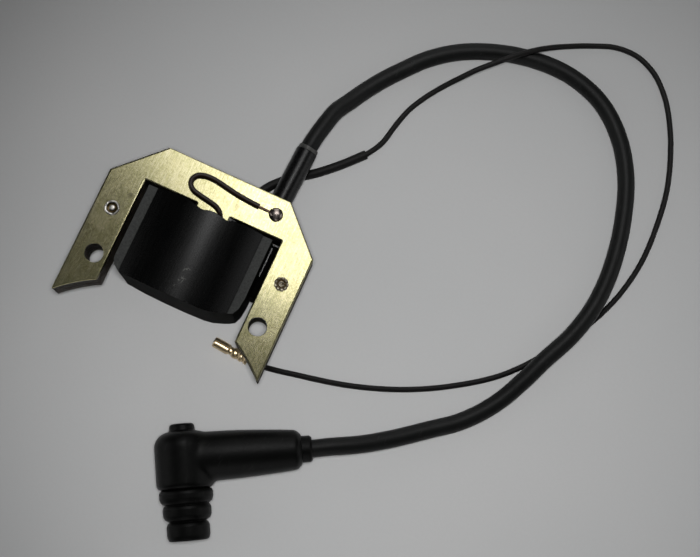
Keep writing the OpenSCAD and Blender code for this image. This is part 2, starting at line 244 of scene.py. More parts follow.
def plate(name, loops, levels, sharp=32.0, shift=None, roll=None):
    """A plate with holes. loops are an outline and its holes, with material on their left.
    levels are (height, inset) rings from the bottom up; shift gives a sideways move per level,
    and roll is how much of the inset each loop gets."""
    roll = roll or [1.0] * len(loops)
    verts, faces, starts = [], [], []
    for li, (z, d) in enumerate(levels):
        dx, dy = shift[li] if shift else (0.0, 0.0)
        row = []
        for loop, part in zip(loops, roll):
            row.append(len(verts))
            ring = inset(loop, d * part)
            verts += [(x + dx, y + dy, z) for x, y in ring]
        starts.append(row)
    for li in range(len(levels) - 1):
        for k, loop in enumerate(loops):
            a, b, n = starts[li][k], starts[li + 1][k], len(loop)
            faces += [(a + i, a + (i + 1) % n, b + (i + 1) % n, b + i) for i in range(n)]
    for li in (0, len(levels) - 1):
        z, d = levels[li]
        rings = [
            [Vector((x, y, 0)) for x, y in inset(lp, d * part)] for lp, part in zip(loops, roll)
        ]
        where = [starts[li][k] + i for k, lp in enumerate(loops) for i in range(len(lp))]
        faces += [tuple(where[i] for i in tri) for tri in tessellate_polygon(rings)]
    ob = mesh_object(name, verts, faces, sharp=sharp)
    for f in ob.data.polygons:
        if abs(f.normal.z) > 0.9999:
            f.use_smooth = False
    return ob


def lathe(name, profile, matrix, segments=64, closed=False, wobble=None, sharp=32.0):
    """A profile of (radius, height) turned round the z axis of matrix, in millimetres.
    wobble(angle, radius, height) returns a changed radius and height."""
    verts, faces, rings = [], [], []
    for r, h in profile:
        if r < 1e-6:
            rings.append([len(verts)] * segments)
            verts.append(matrix @ Vector((0, 0, h)))
            continue
        ring = []
        for k in range(segments):
            a = 2 * math.pi * k / segments
            rr, hh = wobble(a, r, h) if wobble else (r, h)
            ring.append(len(verts))
            verts.append(matrix @ Vector((rr * math.cos(a), rr * math.sin(a), hh)))
        rings.append(ring)
    pairs = list(zip(rings, rings[1:])) + ([(rings[-1], rings[0])] if closed else [])
    for lo, hi in pairs:
        for k in range(segments):
            j = (k + 1) % segments
            f = [lo[k], lo[j], hi[j], hi[k]]
            f = [v for i, v in enumerate(f) if v not in f[:i]]
            if len(f) > 2:
                faces.append(tuple(f))
    return mesh_object(name, verts, faces, sharp=sharp)


def cord_curve(name, route, diameter, material, sides=10):
    """One smooth open curve through a route in millimetres, with a round section."""
    pts = [Vector(p) * MM for p in route]
    cu = bpy.data.curves.new(name, "CURVE")
    cu.dimensions = "3D"
    cu.resolution_u = 10
    cu.bevel_depth = diameter * MM / 2
    cu.bevel_resolution = sides
    cu.use_fill_caps = True
    sp = cu.splines.new("BEZIER")
    sp.bezier_points.add(len(pts) - 1)
    for i, p in enumerate(pts):
        before, after = pts[max(i - 1, 0)], pts[min(i + 1, len(pts) - 1)]
        d0, d1 = (p - before).length, (after - p).length
        if d0 < 1e-9:
            tangent = (after - p) / d1
        elif d1 < 1e-9:
            tangent = (p - before) / d0
        else:
            tangent = ((p - before) / d0 * d1 + (after - p) / d1 * d0) / (d0 + d1)
        bp = sp.bezier_points[i]
        bp.handle_left_type = bp.handle_right_type = "FREE"
        bp.co = p
        bp.handle_left = p - tangent * (d0 or d1) / 3
        bp.handle_right = p + tangent * (d1 or d0) / 3
    cu.materials.append(material)
    ob = bpy.data.objects.new(name, cu)
    scene.collection.objects.link(ob)
    return ob


def route_length(ob):
    """The length of a curve object's centreline in metres."""
    sp, total = ob.data.splines[0], 0.0
    for a, b in zip(sp.bezier_points, sp.bezier_points[1:]):
        last = a.co
        for k in range(1, 25):
            t = k / 24
            q = (
                a.co * (1 - t) ** 3 + a.handle_right * 3 * t * (1 - t) ** 2
                + b.handle_left * 3 * t * t * (1 - t) + b.co * t ** 3
            )
            total += (q - last).length
            last = q
    return total


def place(ob, material, nodes=()):
    """Gives a piece its material, its body and the CAD nodes that it stands for."""
    if material is not None and ob.type == "MESH":
        ob.data.materials.clear()
        ob.data.materials.append(material)
    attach(ob, "root")
    if nodes:
        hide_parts(*nodes)
    return ob


# ---------------------------------------------------------------- material helpers
class Shader:
    """A Principled material whose colour, roughness and bump come from object-space noise."""

    def __init__(self, name, metallic=0.0, specular=0.5, coat=0.0, coat_rough=0.1):
        self.mat = bpy.data.materials.new(name)
        self.mat.use_nodes = True
        self.nt = self.mat.node_tree
        self.bsdf = self.nt.nodes["Principled BSDF"]
        self.bsdf.inputs["Metallic"].default_value = metallic
        self.bsdf.inputs["Specular IOR Level"].default_value = specular
        self.bsdf.inputs["Coat Weight"].default_value = coat
        self.bsdf.inputs["Coat Roughness"].default_value = coat_rough
        self.coord = self.nt.nodes.new("ShaderNodeTexCoord").outputs["Object"]
        self.geometry = self.nt.nodes.new("ShaderNodeNewGeometry")

    def node(self, kind, values=None, **settings):
        n = self.nt.nodes.new(kind)
        for k, v in settings.items():
            setattr(n, k, v)
        for k, v in (values or {}).items():
            if isinstance(v, bpy.types.NodeSocket):
                self.nt.links.new(v, n.inputs[k])
            else:
                n.inputs[k].default_value = v
        return n

    def mapping(self, scale=(1, 1, 1), turn=0.0, shift=(0, 0, 0)):
        return self.node(
            "ShaderNodeMapping",
            {"Vector": self.coord, "Scale": scale, "Rotation": (0, 0, turn), "Location": shift},
        ).outputs["Vector"]

    def noise(self, per_mm, detail=3.0, rough=0.55, stretch=(1, 1, 1), turn=0.0, warp=0.0):
        """Noise with this many features per millimetre, squeezed along the axes by stretch."""
        return self.node(
            "ShaderNodeTexNoise",
            {
                "Vector": self.mapping(stretch, turn),
                "Scale": per_mm / MM,
                "Detail": detail,
                "Roughness": rough,
                "Distortion": warp,
            },
        ).outputs["Fac"]

    def spots(self, per_mm, stretch=(1, 1, 1), turn=0.0):
        return self.node(
            "ShaderNodeTexVoronoi",
            {"Vector": self.mapping(stretch, turn), "Scale": per_mm / MM},
            feature="F1",
        ).outputs["Distance"]

    def remap(self, fac, lo, hi, to_lo=0.0, to_hi=1.0):
        return self.node(
            "ShaderNodeMapRange",
            {0: fac, 1: lo, 2: hi, 3: to_lo, 4: to_hi},
        ).outputs[0]

    def math(self, op, a, b=0.0):
        return self.node("ShaderNodeMath", {0: a, 1: b}, operation=op).outputs[0]

    def times(self, a, b):
        return self.math("MULTIPLY", a, b)

    def plus(self, a, b):
        return self.math("ADD", a, b)

    def minus(self, a, b):
        return self.math("SUBTRACT", a, b)

    def mix(self, fac, a, b):
        n = self.node("ShaderNodeMix", data_type="RGBA")
        for socket, v in ((0, fac), (6, a), (7, b)):
            if isinstance(v, bpy.types.NodeSocket):
                self.nt.links.new(v, n.inputs[socket])
            elif socket == 0:
                n.inputs[0].default_value = v
            else:
                n.inputs[socket].default_value = (*v, 1.0)
        return n.outputs[2]

    def near(self, x, y, z, reach):
        """1 at a point in millimetres, fading to 0 at reach."""
        d = self.node(
            "ShaderNodeVectorMath",
            {0: self.coord, 1: (x * MM, y * MM, z * MM)},
            operation="DISTANCE",
        ).outputs["Value"]
        return self.remap(d, 0.0, reach * MM, 1.0, 0.0)

    def axis(self, which):
        return self.node("ShaderNodeSeparateXYZ", {0: self.coord}).outputs[which]

    def facing_up(self):
        return self.node("ShaderNodeSeparateXYZ", {0: self.geometry.outputs["Normal"]}).outputs[2]

    def bump(self, height, distance_mm, strength=1.0, under=None):
        values = {"Height": height, "Distance": distance_mm * MM, "Strength": strength}
        if under is not None:
            values["Normal"] = under
        return self.node("ShaderNodeBump", values).outputs["Normal"]

    def finish(self, color=None, rough=None, normal=None):
        for name, v in (("Base Color", color), ("Roughness", rough), ("Normal", normal)):
            if v is None:
                continue
            if isinstance(v, bpy.types.NodeSocket):
                self.nt.links.new(v, self.bsdf.inputs[name])
            elif name == "Base Color":
                self.bsdf.inputs[name].default_value = (*v, 1.0)
            else:
                self.bsdf.inputs[name].default_value = v
        return self.mat


def polymer(name, dark, light, rough, spread, grain, bump_mm, specular=0.5, scuff=0.0):
    """A black rubber or plastic: cloudy colour, fine grain, a little dust and scuffing."""
    s = Shader(name, specular=specular)
    cloud = s.noise(0.12, 4, 0.6)
    fine = s.noise(grain, 4, 0.65)
    color = s.mix(s.remap(cloud, 0.35, 0.7), dark, light)
    dust = s.times(s.remap(s.spots(0.55), 0.1, 0.02), s.remap(cloud, 0.5, 0.7))
    color = s.mix(s.times(dust, 0.5), color, (0.16, 0.155, 0.145))
    mottled = s.remap(fine, 0.3, 0.75, rough - spread, rough + spread)
    if scuff:
        lines = s.remap(s.noise(0.7, 5, 0.7, (1, 0.12, 1), 0.5, 0.3), 0.6, 0.72)
        color = s.mix(s.times(lines, scuff), color, (0.09, 0.09, 0.088))
        mottled = s.plus(mottled, s.times(lines, 0.15))
    return s.finish(color, mottled, s.bump(fine, bump_mm))


def metal(name, low, high, rough, spread, grain, bump_mm, stretch=(1, 1, 1), tarnish=None):
    """A bare or plated metal: colour in patches, drawn or turned marks, and dull spots."""
    s = Shader(name, metallic=1.0)
    patch = s.noise(0.35, 4, 0.6)
    marks = s.noise(grain, 4, 0.6, stretch)
    color = s.mix(s.remap(patch, 0.3, 0.7), low, high)
    if tarnish:
        color = s.mix(s.remap(s.noise(0.9, 5, 0.7), 0.55, 0.75), color, tarnish)
    return s.finish(
        color,
        s.remap(s.plus(marks, patch), 0.7, 1.3, rough - spread, rough + spread),
        s.bump(marks, bump_mm),
    )


# ---------------------------------------------------------------- materials
def plated_steel():
    """Yellow-passivated sheet: fine brush lines, mottled film, stains, paler worn patches, and
    painted shade on its walls and in its holes.
    """
    s = Shader("plated_steel", metallic=1.0)
    brush = s.noise(2.6, 5, 0.6, (1.0, 0.07, 1.0), math.radians(38))
    cross = s.noise(1.7, 4, 0.6, (0.09, 1.0, 1.0), math.radians(24))
    speckle = s.noise(1.3, 6, 0.75)
    grain = s.noise(1.5, 5, 0.7, (1.0, 0.3, 1.0), math.radians(38))
    cloud = s.noise(0.09, 4, 0.6, warp=0.4)
    film = s.mix(s.remap(cloud, 0.3, 0.7), (0.40, 0.385, 0.195), (0.49, 0.450, 0.245))
    film = s.mix(s.times(s.remap(speckle, 0.48, 0.64), 0.6), film, (0.64, 0.59, 0.40))
    film = s.mix(s.times(s.remap(speckle, 0.47, 0.32), 0.55), film, (0.24, 0.225, 0.10))
    film = s.mix(s.times(s.remap(grain, 0.5, 0.36), 0.5), film, (0.26, 0.24, 0.115))
    film = s.mix(s.times(s.remap(brush, 0.5, 0.66), 0.55), film, (0.66, 0.61, 0.42))
    stain = s.times(s.near(-31.5, 11.0, 27.5, 1.5), s.remap(speckle, 0.3, 0.6))
    film = s.mix(stain, film, (0.03, 0.022, 0.012))
    blotches = s.remap(s.noise(0.5, 5, 0.7), 0.45, 0.6)
    stain = s.times(s.near(8.5, 23.5, 27.5, 5.0), blotches)
    film = s.mix(s.times(stain, 0.55), film, (0.16, 0.13, 0.06))
    # painted shade: faces that do not face up, the sheet's walls and the steep part of its rolled
    # rim, are darkened
    side = s.remap(s.facing_up(), 0.8, 0.4)
    film = s.mix(side, film, (0.09, 0.078, 0.045))
    # painted shade: the walls of the two holes are darkened further
    for x in (-HOLE_X, HOLE_X):
        hole_wall_shade = s.remap(s.near(x, HOLE_Y, CORE_Z1, 5.0), 0.1, 0.2)
        film = s.mix(s.times(hole_wall_shade, side), film, (0.03, 0.021, 0.012))
    rough = s.remap(s.plus(speckle, cloud), 0.7, 1.3, 0.155, 0.205)
    normal = s.bump(brush, 0.0010)
    normal = s.bump(cross, 0.0006, under=normal)
    return s.finish(film, rough, normal)


def lamination_steel():
    """Cut edges of the sheets: dark, oiled, with rusty spots."""
    s = Shader("lamination_steel", metallic=0.7)
    layers = s.noise(0.8, 3, 0.6, (0.25, 0.25, 2.4))
    rust = s.noise(0.45, 5, 0.7)
    color = s.mix(s.remap(layers, 0.35, 0.7), (0.022, 0.018, 0.014), (0.075, 0.062, 0.045))
    color = s.mix(s.times(s.remap(rust, 0.55, 0.75), 0.7), color, (0.10, 0.045, 0.018))
    return s.finish(color, s.remap(rust, 0.3, 0.7, 0.42, 0.68), s.bump(layers, 0.03))


def coil_moulding():
    """Black moulding: a smooth barrel, duller shoulders and ends, scuffs by its front edge."""
    s = Shader("coil_moulding", specular=0.27)
    fine = s.noise(2.2, 4, 0.6)
    cloud = s.noise(0.1, 4, 0.6)
    streak = s.noise(0.9, 4, 0.6, (1.0, 0.1, 1.0))
    color = s.mix(s.remap(cloud, 0.35, 0.7), (0.0004, 0.0005, 0.0005), (0.0012, 0.0013, 0.0012))
    # the shoulders are beside the barrel, and lower than it
    across = s.math("ABSOLUTE", s.axis(0))
    shoulder = s.remap(across, 0.0218, 0.0222)
    flat_top = s.times(shoulder, s.remap(s.facing_up(), 0.8, 0.97))
    grit = s.remap(s.noise(1.3, 5, 0.7), 0.3, 0.7)
    color = s.mix(flat_top, color, s.mix(grit, (0.030, 0.032, 0.031), (0.085, 0.088, 0.083)))
    # a faint hooked scuff near the front edge, two short scratches, specks and a smear below it
    around = s.node(
        "ShaderNodeVectorMath",
        {0: s.mapping((1.0, 0.8, 0.0), 0.0, (-2.9 * MM, 9.4 * 0.8 * MM, 0.0))},
        operation="LENGTH",
    ).outputs["Value"]
    ragged = s.noise(0.55, 4, 0.7)
    off = s.math("ABSOLUTE", s.minus(around, s.remap(ragged, 0.3, 0.7, 0.0013, 0.0021)))
    hook = s.times(s.remap(off, 0.00024, 0.00006), s.remap(s.axis(0), 0.0038, 0.0031))
    wear = hook
    scratches = ((1.7, -12.0, 0.35, 1.9), (2.5, -12.4, 0.2, 1.2), (0.9, -14.6, 0.8, 1.5))
    for x, y, lean, reach in scratches:
        beside = s.plus(s.times(s.axis(0), math.cos(lean)), s.times(s.axis(1), -math.sin(lean)))
        centre = (x * math.cos(lean) - y * math.sin(lean)) * MM
        line = s.remap(s.math("ABSOLUTE", s.minus(beside, centre)), 0.00022, 0.00005)
        line = s.times(line, s.remap(s.near(x, y, 40.2, reach), 0.0, 0.3))
        wear = s.math("MAXIMUM", wear, line)
    broken = s.remap(s.noise(0.9, 4, 0.7), 0.44, 0.54)
    wear = s.times(s.times(wear, broken), s.remap(s.facing_up(), 0.5, 0.8))
    speck = s.math("MAXIMUM", s.near(2.15, -7.7, 40.4, 0.5), s.near(1.0, -12.6, 40.3, 0.45))
    wear = s.math("MAXIMUM", wear, s.remap(speck, 0.0, 0.5))
    smear = s.times(s.near(1.9, -13.6, 40.0, 6.0), s.remap(ragged, 0.42, 0.62))
    color = s.mix(s.times(smear, 0.35), color, (0.035, 0.036, 0.034))
    color = s.mix(s.times(wear, 0.85), color, (0.16, 0.165, 0.15))
    dust = s.times(s.remap(s.spots(0.5), 0.09, 0.02), s.remap(cloud, 0.45, 0.65))
    color = s.mix(s.times(dust, 0.35), color, (0.12, 0.12, 0.11))
    rough = s.remap(s.plus(fine, streak), 0.7, 1.3, 0.23, 0.31)
    rough = s.plus(rough, s.times(shoulder, 0.26))
    rough = s.plus(rough, s.times(wear, 0.15))
    normal = s.bump(fine, 0.010)
    normal = s.bump(streak, 0.012, under=normal)
    return s.finish(color, rough, normal)


def rivet_steel(name, worn_from, bright_lo, bright_hi, dark_lo, dark_hi):
    """Staked steel: bright where it is worn and high, dark brown in its creases."""
    s = Shader(name, metallic=1.0)
    fine = s.noise(1.6, 5, 0.65)
    bright = s.mix(s.remap(fine, 0.35, 0.7), bright_lo, bright_hi)
    height = s.plus(s.axis(2), s.times(fine, 0.00022))
    worn = s.remap(height, worn_from, worn_from + 0.0002)
    worn = s.times(worn, s.remap(s.facing_up(), 0.55, 0.9))
    brown = s.mix(s.remap(s.noise(1.1, 4, 0.7), 0.4, 0.65), dark_lo, dark_hi)
    color = s.mix(worn, brown, bright)
    return s.finish(color, s.remap(fine, 0.3, 0.7, 0.24, 0.38), s.bump(fine, 0.02))


def floor_material():
    s = Shader("floor", specular=0.15)
    cloud = s.noise(0.01, 3, 0.5)
    fine = s.noise(0.8, 4, 0.6)
    color = s.mix(s.remap(cloud, 0.3, 0.7), (0.585, 0.59, 0.59), (0.61, 0.61, 0.608))
    color = s.mix(s.times(s.remap(fine, 0.3, 0.7), 0.25), color, (0.555, 0.56, 0.56))
    return s.finish(color, s.remap(fine, 0.3, 0.7, 0.62, 0.75), s.bump(fine, 0.02))


def solder_metal():
    s = Shader("solder", metallic=1.0)
    frost = s.noise(1.4, 5, 0.65)
    color = s.mix(s.remap(frost, 0.35, 0.7), (0.36, 0.29, 0.25), (0.62, 0.55, 0.50))
    edge = s.remap(s.near(PIN_X, PIN_Y, CORE_Z1 + 1.2, 3.2), 0.38, 0.08)
    color = s.mix(s.times(edge, 0.85), color, (0.075, 0.04, 0.025))
    return s.finish(color, s.remap(frost, 0.3, 0.7, 0.20, 0.32), s.bump(frost, 0.012))


M_PLATED = plated_steel()
M_LAMINATION = lamination_steel()
M_COIL = coil_moulding()
M_COIL_WALL = polymer(
    "coil_wall", (0.0022, 0.0023, 0.0020), (0.0050, 0.0052, 0.0045), 0.85, 0.08, 1.4, 0.03, 0.05
)
M_LEDGE = polymer(
    "coil_ledge", (0.010, 0.010, 0.010), (0.02, 0.02, 0.02), 0.16, 0.03, 1.4, 0.002, 1.0
)
M_LEDGE.node_tree.nodes["Principled BSDF"].inputs["Coat Weight"].default_value = 1.0
M_FLOOR = floor_material()
M_SOLDER = solder_metal()
M_RESIN = polymer("resin", (0.004, 0.004, 0.004), (0.010, 0.009, 0.008), 0.34, 0.08, 0.7, 0.12)
M_RIVET_LEFT = rivet_steel(
    "rivet_bright", 0.02752, (0.50, 0.48, 0.44), (0.80, 0.78, 0.74), (0.035, 0.022, 0.008),
    (0.16, 0.12, 0.06),
)
M_RIVET_RIGHT = rivet_steel(
    "rivet_brown", 0.02750, (0.42, 0.38, 0.29), (0.66, 0.60, 0.48), (0.10, 0.07, 0.03),
    (0.26, 0.20, 0.11),
)
M_BRASS = metal(
    "brass", (0.58, 0.44, 0.24), (0.76, 0.62, 0.40), 0.33, 0.06, 1.6, 0.006, (0.4, 1, 1),
    tarnish=(0.36, 0.25, 0.12),
)
M_COPPER = metal(
    "copper", (0.24, 0.14, 0.10), (0.38, 0.26, 0.20), 0.34, 0.08, 2.2, 0.01, (0.3, 1, 1),
    tarnish=(0.10, 0.05, 0.035),
)
M_ENAMEL = metal("enamelled_copper", (0.36, 0.12, 0.04), (0.50, 0.19, 0.07), 0.3, 0.06, 2.5, 0.05)
M_FINE = metal("fine_copper", (0.42, 0.16, 0.06), (0.52, 0.22, 0.09), 0.32, 0.06, 4.0, 0.03)
M_STEEL = metal("plated_small", (0.50, 0.50, 0.48), (0.66, 0.66, 0.64), 0.28, 0.07, 1.8, 0.02)
M_EARTH = polymer(
    "brown_insulation", (0.016, 0.007, 0.003), (0.034, 0.016, 0.008), 0.42, 0.07, 1.2, 0.02, 0.45
)
M_SLEEVE = polymer(
    "sleeve_rubber", (0.003, 0.0032, 0.0034), (0.0055, 0.0055, 0.0055), 0.30, 0.06, 1.0, 0.02, 0.35
)
M_COLLAR = polymer(
    "collar_rubber", (0.050, 0.051, 0.048), (0.105, 0.105, 0.098), 0.45, 0.08, 1.3, 0.05, 0.5
)
M_HT = polymer(
    "ht_insulation", (0.0040, 0.0045, 0.0042), (0.0070, 0.0076, 0.0072),
    0.50, 0.06, 0.9, 0.02, 0.30, scuff=0.25,
)
M_CAP = polymer(
    "cap_moulding", (0.0008, 0.001, 0.0008), (0.0022, 0.0026, 0.0020), 0.44, 0.06, 1.1, 0.03, 0.19,
    scuff=0.15,
)
M_BOOT = polymer(
    "boot_rubber", (0.0008, 0.001, 0.0008), (0.0020, 0.0024, 0.0018), 0.48, 0.06, 1.1, 0.03, 0.18
)
M_THIN = polymer(
    "thin_insulation", (0.0065, 0.006, 0.0055), (0.011, 0.010, 0.0095), 0.55, 0.07, 1.3, 0.02, 0.28
)
M_BOBBIN = polymer(
    "bobbin_plastic", (0.10, 0.045, 0.02), (0.14, 0.065, 0.03), 0.5, 0.06, 1.0, 0.03
)
M_WRAP = polymer("wrap_paper", (0.42, 0.34, 0.20), (0.50, 0.42, 0.26), 0.75, 0.06, 1.6, 0.05)
M_CERAMIC = polymer(
    "resistor_ceramic", (0.62, 0.58, 0.50), (0.72, 0.69, 0.62), 0.5, 0.06, 1.4, 0.02
)

# ---------------------------------------------------------------- cords
ht_lead = place(cord_curve("lead_ht", HT_ROUTE, HT_D, M_HT, 12), None, ["ht_lead"])
primary_lead = place(
    cord_curve("lead_primary", PRIM_ROUTE, PRIM_D, M_THIN, 6), None,
    ["primary_lead"],
)
earth_wire = place(
    cord_curve("wire_earth", EARTH_ROUTE, EARTH_D, M_EARTH, 8), None,
    ["earth_wire"],
)


def direction_frame(start, direction):
    """A matrix whose z axis runs along direction from start."""
    z = Vector(direction).normalized()
    x = z.cross(Vector((0, 0, 1))).normalized()
    return Matrix.Translation(start) @ Matrix((x, z.cross(x), z)).transposed().to_4x4()


sleeve_axis = SLEEVE_B - SLEEVE_A
SLEEVE_FRAME = direction_frame(SLEEVE_A, sleeve_axis)
sleeve_l = sleeve_axis.length
sleeve = place(
    lathe(
        "sleeve_ht",
        fillet(
            [(3.56, 0), (SLEEVE_R, 0), (SLEEVE_R, sleeve_l), (3.56, sleeve_l)],
            [0, 0, 0.5, 0.2], 4,
        ),
        SLEEVE_FRAME, 56, closed=True,
    ),
    M_SLEEVE, ["ht_sleeve"],
)
collar = place(
    lathe(
        "sleeve_collar",
        fillet(
            [(3.56, sleeve_l), (4.1, sleeve_l), (4.1, sleeve_l * 1.035), (3.56, sleeve_l * 1.035)],
            [0, 0, 0.3, 0.15], 3,
        ),
        SLEEVE_FRAME, 56, closed=True,
        wobble=lambda a, r, h: (
            r + 0.05 * math.sin(3 * a + 1) * (r > 3.8), h + 0.08 * math.sin(2 * a)
        ),
    ),
    M_COLLAR, ["ht_sleeve_collar"],
)
primary_sleeve = place(
    cord_curve("sleeve_primary", PRIM_ROUTE[:8], 2 * PRIM_SLEEVE_R, M_THIN, 8), None,
    ["primary_sleeve"],
)


# ---------------------------------------------------------------- plug cap and its parts
def cap_body():
    head = fillet(
        [(0, -10.3), (4.9, -10.3), (4.9, -7.3)], [0, 1.4, 0], 6, closed=False,
    )
    head += [
        (HEAD_R - 6.2 * (1 - math.sin(a)), -7.4 + 6.2 * (1 - math.cos(a)))
        for a in (math.radians(5 * k) for k in range(2, 19))
    ]
    head += [
        (HEAD_R, 12.8), (HEAD_R - 0.15, 13.5), (HEAD_R - 0.55, 14.2), (9.7, 14.65), (9.3, 14.7),
        (7, 14.7), (7, 6), (2.2, 6), (2.2, -2.4), (0, -2.4),
    ]
    body = lathe("cap_moulding", head, PLUG_FRAME, 96)
    arm = lathe(
        "arm",
        fillet(
            [(0, 0), (9.7, 0), (9.6, 13), (9.3, 21), (8.9, 28), (8.3, 37), (7.7, ARM_L - 2),
             (5.8, ARM_L), (0, ARM_L)],
            [0, 0, 8, 8, 8, 8, 2.4, 1.2, 0], 5, closed=False,
        ),
        ARM_FRAME, 96,
    )
    boolean(body, arm, "UNION")
    return body


cap = cap_body()
remesh = cap.modifiers.new("remesh", "REMESH")
remesh.mode, remesh.voxel_size, remesh.use_smooth_shade = "VOXEL", 0.42 * MM, True
bake_modifiers(cap, 60)


def blend_corner(ob):
    """Rounds the corner where the arm meets the head, by smoothing only the points near it."""
    bm = bmesh.new()
    bm.from_mesh(ob.data)
    inv_p, inv_a = PLUG_FRAME.inverted(), ARM_FRAME.inverted()
    near, weights = [], {}
    for v in bm.verts:
        p = v.co / MM
        q, a = inv_p @ p, inv_a @ p
        if a.z < 2 or q.z < -12 or q.z > 14.2 or a.z > 30:
            continue
        gap = abs(math.hypot(q.x, q.y) - HEAD_R)
        arm_gap = abs(math.hypot(a.x, a.y) - 9.6)
        w = max(0.0, 1 - gap / 7) * max(0.0, 1 - arm_gap / 6)
        if w > 0.02:
            near.append(v)
            weights[v] = min(1.0, 1.8 * w)
    for _ in range(34):
        moves = {}
        for v in near:
            mid = Vector()
            for e in v.link_edges:
                mid += e.other_vert(v).co
            moves[v] = v.co.lerp(mid / len(v.link_edges), 0.6 * weights[v])
        for v, co in moves.items():
            v.co = co
    for _ in range(2):
        bmesh.ops.smooth_vert(
            bm, verts=bm.verts, factor=0.5, use_axis_x=True, use_axis_y=True, use_axis_z=True
        )
    bm.to_mesh(ob.data)
    bm.free()
    mark_sharp(ob.data, 60)


blend_corner(cap)
place(cap, M_CAP, ["cap_body"])

boot = place(
    lathe(
        "plug_boot_rubber",
        fillet(
            [(5.9, 8.5), (7, 8.5), (7, 14.7), (9.2, 14.7), (10.1, 15.4), (10.4, 16.4),
             (10.35, 18.2), (9.8, 19.7), (8.45, 20.7), (9, 21.3), (9.3, 22.2), (9.2, 24.9),
             (8.6, 26.2), (7, 27.1), (7.8, 27.8), (8.2, 28.7), (8.2, 32.5), (7.8, 33.8),
             (7.2, 34.3), (5.5, 34.3), (5.5, 16), (5.9, 16)],
            [0, 0, 0, 0.3, 1.0, 1.5, 1.8, 1.5, 0.15, 0.6, 1.2, 1.8, 1.2, 0.15, 0.6, 1.2, 1.5, 1.0,
             0.4, 0.3, 0, 0], 5,
        ),
        PLUG_FRAME, 80, closed=True,
        wobble=lambda a, r, h: (r * (1 + 0.004 * math.sin(2 * a + h * 0.3)), h),
    ),
    M_BOOT, ["cap_boot"],
)
seal = place(
    lathe(
        "cap_seal_ring",
        fillet(
            [(3.6, ARM_L - 0.4), (5.2, ARM_L - 0.4), (5.2, ARM_L + 3.2), (4.5, ARM_L + 4.0),
             (3.6, ARM_L + 4.0)],
            [0, 0, 0.9, 0.5, 0.2], 4,
        ),
        ARM_FRAME, 56, closed=True,
    ),
    M_BOOT, ["cap_seal"],
)


# ---------------------------------------------------------------- bullet terminal
def bullet():
    axis = Matrix.Translation((19.5, -25.1, 2.2)) @ Matrix.Rotation(math.radians(-4.6), 4, "Z")
    axis = axis @ Matrix.Rotation(math.radians(90), 4, "Y")
    profile = fillet(
        [(0, 3), (1.5, 3), (1.5, 0), (1.9, 0), (2.15, 0.5), (2.15, 6.6), (1.65, 7.3), (1.65, 8.3),
         (2.1, 8.9), (2.2, 9.4), (2.2, 15.4), (1.28, 15.4), (1.28, 10), (0, 10)],
        [0, 0, 0.1, 0.15, 0.3, 0.4, 0.4, 0.4, 0.4, 0.3, 0.15, 0.05, 0, 0], 4, closed=False,
    )

    def crimp(a, r, h):
        if r > 1.8 and h > 9.6:
            dent = math.exp(-(((h - 11.2) / 0.55) ** 2)) + math.exp(-(((h - 13.6) / 0.55) ** 2))
            return r - 0.5 * dent * max(0.0, math.cos(a + 2.2)) - 0.16 * dent, h
        if r > 2.0 and h < 7:
            seam = math.exp(-((math.remainder(a - 2.9, 2 * math.pi) / 0.07) ** 2))
            return r - 0.2 * seam, h
        return r, h

    extra = []
    for (r0, h0), (r1, h1) in zip(profile, profile[1:]):
        n = max(1, int(abs(h1 - h0) / 0.3))
        extra += [(r0 + (r1 - r0) * k / n, h0 + (h1 - h0) * k / n) for k in range(n)]
    extra.append(profile[-1])
    return lathe("bullet", extra, axis, 72, wobble=crimp)


terminal = place(bullet(), M_BRASS, ["bullet_terminal"])


# ---------------------------------------------------------------- core
def fly_arc(x0, x1, n):
    return [
        (x, FLY_Y + math.sqrt(FLY_R ** 2 - x * x))
        for x in (x0 + (x1 - x0) * k / n for k in range(n + 1))
    ]


def core_outline():
    pts = fly_arc(-HALF_W, -WINDOW_X, 10)
    pts += [(-WINDOW_X, BAR_Y), (-POLE_X, BAR_Y)]
    pts += fly_arc(-POLE_X, POLE_X, 6)
    pts += [(POLE_X, BAR_Y), (WINDOW_X, BAR_Y)]
    pts += fly_arc(WINDOW_X, HALF_W, 10)
    pts += [
        (HALF_W, HALF_D - CORE_CUT), (HALF_W - CORE_CUT, HALF_D),
        (-HALF_W + CORE_CUT, HALF_D), (-HALF_W, HALF_D - CORE_CUT),
    ]
    return resample(fillet(pts, 0.35, 3), 2.5)


def core_loops(hole_r, rivet_r=2.0):
    loops = [core_outline()]
    for s in (-1, 1):
        loops.append(circle(s * HOLE_X, HOLE_Y, hole_r, 48, clockwise=True))
        loops.append(circle(s * RIVET_X, RIVET_Y, rivet_r, 24, clockwise=True))
    return loops


def sheet_stack():
    z0, z1, count = CORE_Z0 + CHEEK_T, CORE_Z1 - CHEEK_T, 25
    step = (z1 - z0) / count
    levels, shifts = [], []
    for k in range(count):
        lo = z0 + k * step
        proud = float(rng.uniform(0.02, 0.16))
        move = tuple(rng.uniform(-0.05, 0.05, 2))
        for z, d in ((lo, 0.3), (lo + 0.09, proud), (lo + step - 0.09, proud), (lo + step, 0.3)):
            levels.append((z, d))
            shifts.append(move)
    return plate("core_sheets", core_loops(HOLE_R), levels, shift=shifts)


def cheek(name, z_out, z_in):
    """A cheek sheet whose outer edge is rolled over by the punch, with a small burr inside."""
    s = 1 if z_out > z_in else -1
    rim = [(0.0, 0.62), (0.035, 0.34), (0.09, 0.18), (0.18, 0.08), (0.32, 0.0)]
    levels = [(z_out - s * dz, d) for dz, d in rim] + [(z_in, 0.0)]
    if s > 0:
        levels.reverse()
    return plate(name, core_loops(HOLE_R), levels, sharp=50, roll=[1.0] + [0.28] * 4)


